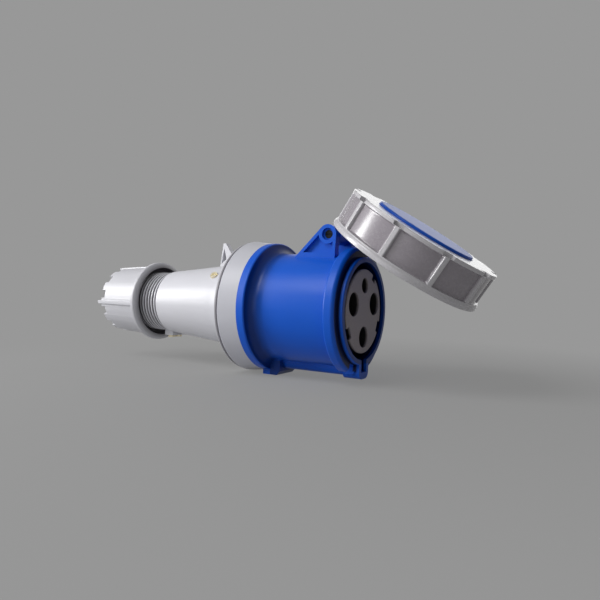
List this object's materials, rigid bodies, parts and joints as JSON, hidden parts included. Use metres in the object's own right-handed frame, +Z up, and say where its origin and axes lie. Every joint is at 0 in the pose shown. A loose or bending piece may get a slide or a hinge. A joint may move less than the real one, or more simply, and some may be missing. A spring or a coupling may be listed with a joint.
{
  "type": "pin and sleeve connector",
  "caption": "Industrial cable connector: round blue sleeve with recessed contacts, hinged cover with a bayonet locking ring, grey rear housing and cable gland nut.",
  "frame": {"origin": "centre of the contact insert's front face, on the connector's axis", "axes": "+X out of the mouth towards the mating plug, +Z up towards the cover hinge, +Y to the right seen from the front"},
  "size_m": [0.3379, 0.1136, 0.1383],
  "materials": {
    "sleeve_blue": "moulded, satin",
    "seal_rubber": "moulded",
    "insert_grey": "moulded, matt",
    "contact_brass": "turned",
    "screw_steel": "plated",
    "housing_grey": "moulded, satin",
    "screw_brass": "turned",
    "nut_grey": "moulded, satin",
    "ring_grey": "moulded, semi-gloss"
  },
  "bodies": {
    "connector": {"front_sleeve": "sleeve_blue", "sleeve_seal": "seal_rubber", "contact_insert": "insert_grey", "pole_contact_left": "contact_brass", "pole_contact_right": "contact_brass", "earth_contact": "contact_brass", "pilot_contact": "contact_brass", "terminal_screws": "screw_steel", "contact_retainer": "insert_grey", "retainer_screws": "screw_steel", "housing_collar": "housing_grey", "rear_housing": "housing_grey", "housing_screws": "screw_brass", "cable_clamp": "nut_grey", "clamp_screws": "screw_brass", "hinge_pin": "screw_steel", "seal_bush": "seal_rubber"},
    "cover": {"cover_lid": "sleeve_blue", "cover_gasket": "seal_rubber"},
    "locking_ring": {"bayonet_ring": "ring_grey"},
    "gland_washer": {"thrust_washer": "nut_grey"},
    "gland": {"gland_nut": "nut_grey"}
  },
  "joints": [
    {"name": "cover_hinge", "type": "hinge", "parent": "connector", "child": "cover", "pos_m": [-0.0233, 0, 0.0546], "axis": [0, -1, 0], "range_deg": [-57, 63]},
    {"name": "locking_ring_turn", "type": "hinge", "parent": "cover", "child": "locking_ring", "pos_m": [0.0385, 0, 0.04952], "axis": [-0.5446, 0, -0.8387], "range_deg": [0, 40]},
    {"name": "gland_nut_turn", "type": "hinge", "parent": "gland_washer", "child": "gland", "pos_m": [-0.2189, 0, 0], "axis": [1, 0, 0], "range_deg": [-360, 506.25]},
    {"name": "gland_travel", "type": "slide", "parent": "connector", "child": "gland_washer", "axis": [1, 0, 0], "range_m": [-0.00321, 0.00451]}
  ],
  "couplings": [
    {"joint": "gland_travel", "follows": "gland_nut_turn", "m_per_rad": 0.0005093}
  ]
}
